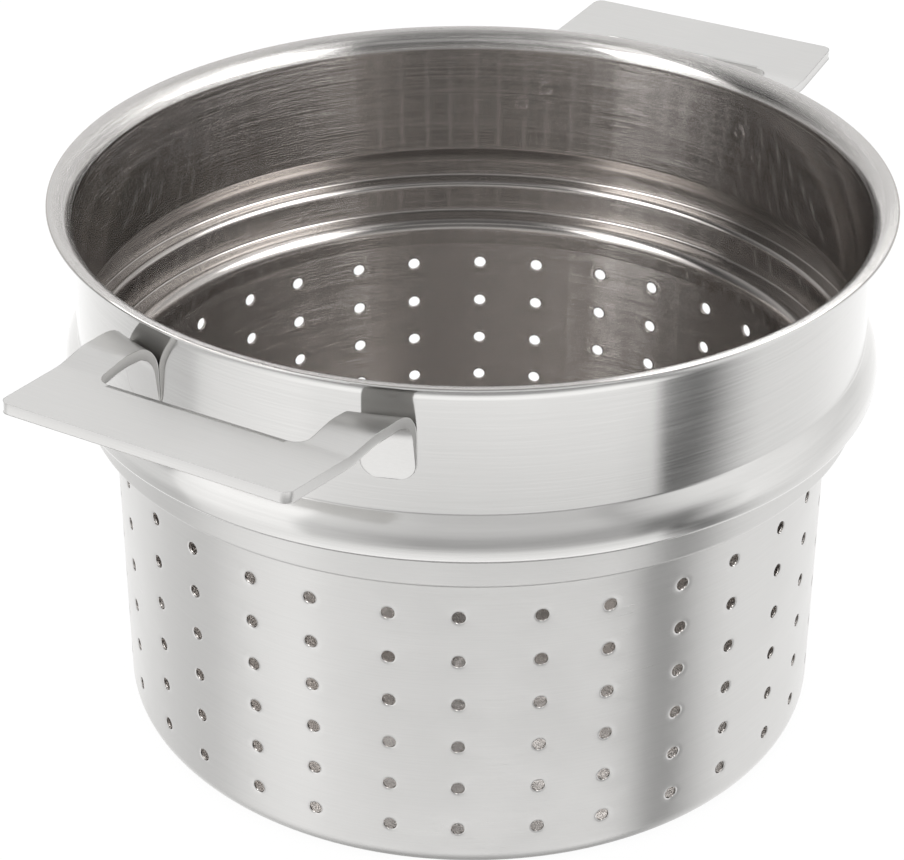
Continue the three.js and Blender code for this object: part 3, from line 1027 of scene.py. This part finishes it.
def steel_material(name, group, colours, roughness, brushing):
    """Brushed steel: lines and drift in colour and gloss, and ridges as a fine bump."""
    material, nodes, shader = new_material(name)
    place = brushing.place(nodes, brushing.stretch, brushing.density)
    brushed = nodes.add("ShaderNodeGroup", {"Place": place, "Start": brushing.start}, node_tree=group)
    lines, ridges, drift = (brushed.outputs[label] for label in BRUSHED_OUTPUTS)
    light, dark = ((*value, 1.0) for value in colours)
    worn = nodes.times(nodes.plus(drift, lines), 0.5)
    gloss = (roughness - brushing.spread, roughness + brushing.spread)
    inputs = {
        "Base Color": nodes.mixed(nodes.ranged(lines, LINE_SPAN), dark, light),
        "Roughness": nodes.ranged(worn, LINE_SPAN, gloss),
        "Normal": nodes.made("ShaderNodeBump", {
            "Height": ridges, "Strength": 1.0, "Distance": brushing.grain, "Filter Width": BUMP_FILTER,
        }),
        "Metallic": 1.0,
        "Anisotropic": brushing.anisotropy,
    }
    if brushing.anisotropy:
        inputs["Anisotropic Rotation"] = GLOSS_TURN
        inputs["Tangent"] = nodes.made("ShaderNodeTangent", direction_type="RADIAL", axis="Z")
    for label, value in inputs.items():
        nodes.feed(shader.inputs[label], value)
    return material


def steel_finishes(finish):
    """The finishes of the body and the finish of the handles, by name, made when first asked for."""
    if MATERIAL_NAMES["Satin"] in bpy.data.materials:
        return {label: bpy.data.materials[name] for label, name in MATERIAL_NAMES.items()}
    outside = finish.steel, finish.dark_steel
    # The inside colours are painted shade: darker and warmer than the same steel outside
    inside = finish.shaded_inside_steel, finish.dark_shaded_inside_steel
    # The lip colours are painted shade, between the outside steel and the shaded inside
    lip = finish.shaded_lip_steel, finish.dark_shaded_lip_steel
    looks = {
        "Satin": (outside, finish.satin, SATIN_BRUSHING),
        "Polished": (outside, finish.polished, POLISHED_BRUSHING),
        "Collar": (inside, finish.inside, COLLAR_BRUSHING),
        "Bend": (inside, finish.polished, BEND_BRUSHING),
        "Inside": (inside, finish.inside, INSIDE_BRUSHING),
        "Lip": (lip, finish.inside, COLLAR_BRUSHING),
        "Handle": (outside, finish.handle, HANDLE_BRUSHING),
    }
    group = brushed_lines_group()
    return {label: steel_material(MATERIAL_NAMES[label], group, *look) for label, look in looks.items()}


# The studio

WHITE = (1.0, 1.0, 1.0, 1.0)
# A ray meets the inside of a deep pot about this often before it gets out
GLOSSY_BOUNCES = 8

# Brightness of the studio round the object, as (degrees to the right of the camera, level)
UNDER_LIGHT = ((-180, 0.4), (180, 0.4))
FLOOR_LIGHT = (
    (-180, 1.28), (-150, 1.28), (-124, 1.02), (-112, 0.86), (-100, 0.76), (-86, 0.72), (-82, 1.1),
    (-60, 1.34), (-42, 1.46), (56, 1.5), (63, 0.85), (70, 0.34), (76, 0.44), (84, 0.84), (92, 1.02),
    (105, 1.12), (130, 1.24), (180, 1.28),
)
LOW_LIGHT = (
    (-180, 1.25), (-150, 1.25), (-124, 1.02), (-112, 0.86), (-100, 0.76), (-86, 0.7), (-83, 1.0),
    (-60, 1.1), (-46, 1.12), (-38, 1.07), (-28, 1.06), (52, 1.06), (56, 0.02), (65, 0.02), (70, 0.1),
    (77, 0.42), (84, 0.76), (90, 0.94), (105, 1.03), (130, 1.2), (180, 1.25),
)
LEVEL_LIGHT = (
    (-180, 1.35), (-130, 1.15), (-95, 0.98), (-84, 0.98), (-82, 1.25), (-70, 1.35), (-48, 1.32),
    (-43, 0.85), (-25, 0.65), (-12, 0.51), (40, 0.53), (47, 0.28), (57, 0.26), (66, 0.8), (76, 1.22),
    (95, 1.1), (110, 1.0), (140, 1.2), (180, 1.35),
)
HIGH_LIGHT = (
    (-180, 1.1), (-140, 0.8), (-118, 0.3), (-100, 0.14), (-86, 0.14), (-83, 1.4), (-70, 1.5), (-46, 1.5),
    (-42, 1.05), (-28, 0.9), (-10, 0.8), (34, 0.8), (42, 0.6), (50, 0.8), (62, 1.0), (76, 1.15),
    (100, 1.15), (118, 1.0), (128, 0.6), (142, 0.8), (180, 1.1),
)
TOP_LIGHT = (
    (-180, 0.6), (-150, 0.6), (-125, 0.25), (-96, 0.16), (-93, 1.9), (-64, 1.9), (-54, 0.3), (-30, 0.16),
    (35, 0.14), (52, 0.2), (66, 0.8), (74, 1.15), (104, 1.15), (114, 0.5), (130, 0.5), (150, 0.6),
    (180, 0.6),
)
ZENITH_LIGHT = ((-180, 0.4), (-110, 0.4), (-60, 0.2), (60, 0.2), (110, 0.35), (180, 0.4))
# Each of these takes over from the one before it between two elevations in degrees
LIGHT_BANDS = (
    ((-72, -50), FLOOR_LIGHT), ((-36, -31.5), LOW_LIGHT), ((-29, -23), LEVEL_LIGHT), ((-2, 22), HIGH_LIGHT),
    ((56, 64), TOP_LIGHT), ((72, 80), ZENITH_LIGHT),
)

# Small boxes and flags that stand round the mouth and light only the inside
MOUTH_LIGHT = (
    (-150, 0.06), (-121, 0.06), (-112, 4.4), (-100, 5.6), (-66, 6.0), (-61, 0.5), (-45, 0.2), (50, 0.2),
    (64, 0.4), (71, 2.6), (82, 5.2), (100, 7.0), (150, 7.0),
)
SCREEN_REACH = math.radians(150)
SCREEN_RADIUS = 0.1285
SKIRT_TOP = 0.24
SCREEN_TOP = 0.43
SCREEN_STEPS = 72

FLOOR_ROUGHNESS = 0.9
# How bright the floor glows to the camera, and the share of the glow in what the camera sees of it
FLOOR_GLOW = 1.06
GLOW_SHARE = 0.85


def light_band(nodes, share, stops):
    """A ramp of brightness round the horizon."""
    ramp = nodes.add("ShaderNodeValToRGB", {"Fac": share})
    elements = ramp.color_ramp.elements
    while len(elements) < len(stops):
        elements.new(1.0)
    for element, (side, level) in zip(elements, stops):
        element.position = (side + 180) / 360
        element.color = (level, level, level, 1.0)
    return ramp.outputs[0]


def heading(nodes, direction, azimuth):
    """A direction's share of the way round, from the side away from the camera, and its rise in degrees."""
    inputs = {"Vector": direction, "Angle": -azimuth}
    x, y, z = nodes.parts(nodes.made("ShaderNodeVectorRotate", inputs, rotation_type="Z_AXIS"))
    share = nodes.plus(nodes.math("DIVIDE", nodes.math("ARCTAN2", y, x), math.tau), 0.5)
    return share, nodes.math("DEGREES", nodes.math("ARCSINE", z))


def make_world(studio):
    """White for the camera and the floor, with the studio's boxes and dark cards in what steel reflects."""
    world = bpy.data.worlds.new("Studio")
    world.use_nodes = True
    bpy.context.scene.world = world
    nodes = NodeWriter(world.node_tree)
    share, rise = heading(nodes, nodes.made("ShaderNodeTexCoord", output="Generated"), studio.azimuth)
    level = light_band(nodes, share, UNDER_LIGHT)
    for edge, stops in LIGHT_BANDS:
        above = nodes.ranged(rise, edge, interpolation_type="SMOOTHSTEP")
        level = nodes.mixed(above, level, light_band(nodes, share, stops))
    glossy = nodes.made("ShaderNodeLightPath", output="Is Glossy Ray")
    nodes.feed(world.node_tree.nodes["Background"].inputs["Color"], nodes.mixed(glossy, WHITE, level))


def stage_piece(name, points, faces, material, hidden_from):
    """Adds an object of the stage, hidden from some kinds of rays."""
    mesh = bpy.data.meshes.new(name)
    mesh.from_pydata(points, [], faces)
    mesh.materials.append(material)
    piece = new_object(name, mesh)
    for rays in hidden_from:
        setattr(piece, f"visible_{rays}", False)


def mixed_surface(nodes, factor, first, second):
    """Puts out a mix of two shaders as the material's surface."""
    surface = nodes.made("ShaderNodeMixShader", {0: factor, 1: first, 2: second})
    nodes.feed(nodes.tree.nodes["Material Output"].inputs["Surface"], surface)


def make_floor(studio):
    """A pale floor that takes the object's shadow and lets the studio's own light into reflections."""
    material, nodes, shader = new_material("Studio Floor")
    shader.inputs["Base Color"].default_value = (*studio.floor, 1.0)
    shader.inputs["Roughness"].default_value = FLOOR_ROUGHNESS
    shader.inputs["Specular IOR Level"].default_value = 0.0
    glow = nodes.made("ShaderNodeEmission", {"Color": WHITE, "Strength": FLOOR_GLOW})
    camera = nodes.made("ShaderNodeLightPath", output="Is Camera Ray")
    mixed_surface(nodes, nodes.times(camera, GLOW_SHARE), shader.outputs[0], glow)
    half = studio.floor_size / 2
    corners = [(-half, -half, 0), (half, -half, 0), (half, half, 0), (-half, half, 0)]
    stage_piece("floor", corners, [(0, 1, 2, 3)], material, ["glossy"])


def make_screen(studio):
    """A ring of boxes and flags on a clear skirt, which only rays from inside the mouth can meet."""
    material, nodes, _ = new_material("Studio Screen")
    material.cycles.emission_sampling = "NONE"
    place = object_place(nodes)
    share, _ = heading(nodes, place, studio.azimuth)
    shine = nodes.made("ShaderNodeEmission", {"Color": light_band(nodes, share, MOUTH_LIGHT)})
    clear = nodes.made("ShaderNodeBsdfTransparent")
    passed = nodes.made("ShaderNodeLightPath", output="Transparent Depth")
    behind = nodes.made("ShaderNodeNewGeometry", output="Backfacing")
    skirt = nodes.math("LESS_THAN", nodes.parts(place)[2], SKIRT_TOP)
    outside = nodes.math("MINIMUM", nodes.plus(nodes.plus(passed, behind), skirt), 1.0)
    mixed_surface(nodes, outside, shine, clear)
    points = []
    for k in range(SCREEN_STEPS + 1):
        turn = studio.azimuth + SCREEN_REACH * (2 * k / SCREEN_STEPS - 1)
        x, y = SCREEN_RADIUS * math.cos(turn), SCREEN_RADIUS * math.sin(turn)
        points += [(x, y, BODY_TOP.z), (x, y, SCREEN_TOP)]
    faces = [(k, k + 1, k + 3, k + 2) for k in range(0, 2 * SCREEN_STEPS, 2)]
    stage_piece("screen", points, faces, material, ["camera", "diffuse", "shadow"])


def make_camera(studio):
    """The camera at the photograph's viewing angle."""
    level = math.cos(studio.elevation)
    towards = Vector((-level * math.cos(studio.azimuth), -level * math.sin(studio.azimuth),
                      -math.sin(studio.elevation)))
    data = bpy.data.cameras.new("camera")
    data.lens = studio.lens
    camera = new_object("camera", data)
    looking = towards.to_track_quat("-Z", "Y").to_matrix().to_4x4()
    camera.matrix_world = Matrix.Translation(studio.camera) @ looking @ Matrix.Rotation(studio.roll, 4, "Z")
    bpy.context.scene.camera = camera


# Operators

class MESH_OT_insert_body(bpy.types.Operator):
    """Builds the drawn body with its perforations"""

    bl_idname = "mesh.insert_body"
    bl_label = "Insert Body"

    def execute(self, context):
        settings = context.scene.steamer_insert
        mesh = body_mesh(settings, steel_finishes(settings.finish))
        place_piece("perforated_body", mesh, ["insert_body"])
        return {"FINISHED"}


class MESH_OT_insert_handles(bpy.types.Operator):
    """Builds the two plate handles"""

    bl_idname = "mesh.insert_handles"
    bl_label = "Insert Handles"

    def execute(self, context):
        settings = context.scene.steamer_insert
        material = steel_finishes(settings.finish)["Handle"]
        for node, turn in (("right_handle", 0.0), ("left_handle", math.pi)):
            mesh = handle_mesh(settings, material)
            mesh.transform(Matrix.Rotation(turn, 4, "Z"))
            place_piece(f"{node}_plate", mesh, [node])
        return {"FINISHED"}


class MESH_OT_insert_weld_marks(bpy.types.Operator):
    """Builds the marks that the spot welds leave inside the collar"""

    bl_idname = "mesh.insert_weld_marks"
    bl_label = "Insert Weld Marks"

    def execute(self, context):
        settings = context.scene.steamer_insert
        finishes = steel_finishes(settings.finish)
        turning = {"Segments": MARK_SEGMENTS, "Turn": 0.0, **finishes}
        mark_mesh = shaped("mark", mark_line(settings.weld), turned_tree(), turning)
        mark = bpy.data.objects.new("mark", mark_mesh)
        tree = marks_tree()
        for handle, side in (("right_handle", 1), ("left_handle", -1)):
            points = bpy.data.meshes.new("weld points")
            points.from_pydata(weld_places(settings, side), [], [])
            marks = joined_mesh(handle, [shaped("marks", points, tree, {"Mark": mark, **finishes})])
            nodes = [f"{handle}_weld_{number + 1}" for number in range(WELDS_PER_HANDLE)]
            place_piece(f"{handle}_weld_marks", marks, nodes)
        bpy.data.objects.remove(mark)
        return {"FINISHED"}


class SCENE_OT_insert_studio(bpy.types.Operator):
    """Builds the floor, the light and the camera"""

    bl_idname = "scene.insert_studio"
    bl_label = "Insert Studio"

    def execute(self, context):
        studio = context.scene.steamer_insert.studio
        context.scene.view_settings.view_transform = "Standard"
        context.scene.cycles.glossy_bounces = GLOSSY_BOUNCES
        make_world(studio)
        make_floor(studio)
        make_screen(studio)
        make_camera(studio)
        return {"FINISHED"}


class VIEW3D_PT_insert(bpy.types.Panel):
    """Lists the insert's operators and settings"""

    bl_label = "Steamer Insert"
    bl_space_type = "VIEW_3D"
    bl_region_type = "UI"
    bl_category = "Insert"

    def draw(self, context):
        for operator in OPERATORS:
            self.layout.operator(operator.bl_idname)
        for group in InsertSettings.__annotations__:
            box = self.layout.box()
            values = getattr(context.scene.steamer_insert, group)
            for name in values.__annotations__:
                box.prop(values, name)


OPERATORS = (MESH_OT_insert_body, MESH_OT_insert_handles, MESH_OT_insert_weld_marks, SCENE_OT_insert_studio)
CLASSES = (
    InsertBodySizes, PerforationSizes, HandleSizes, WeldSizes, SteelFinish, StudioSettings, InsertSettings,
    *OPERATORS, VIEW3D_PT_insert,
)


def register():
    for cls in CLASSES:
        bpy.utils.register_class(cls)
    bpy.types.Scene.steamer_insert = PointerProperty(type=InsertSettings)


def unregister():
    del bpy.types.Scene.steamer_insert
    for cls in reversed(CLASSES):
        bpy.utils.unregister_class(cls)


def main():
    register()
    bpy.ops.scene.insert_studio()
    bpy.ops.mesh.insert_body()
    bpy.ops.mesh.insert_handles()
    bpy.ops.mesh.insert_weld_marks()


if __name__ == "__main__":
    main()
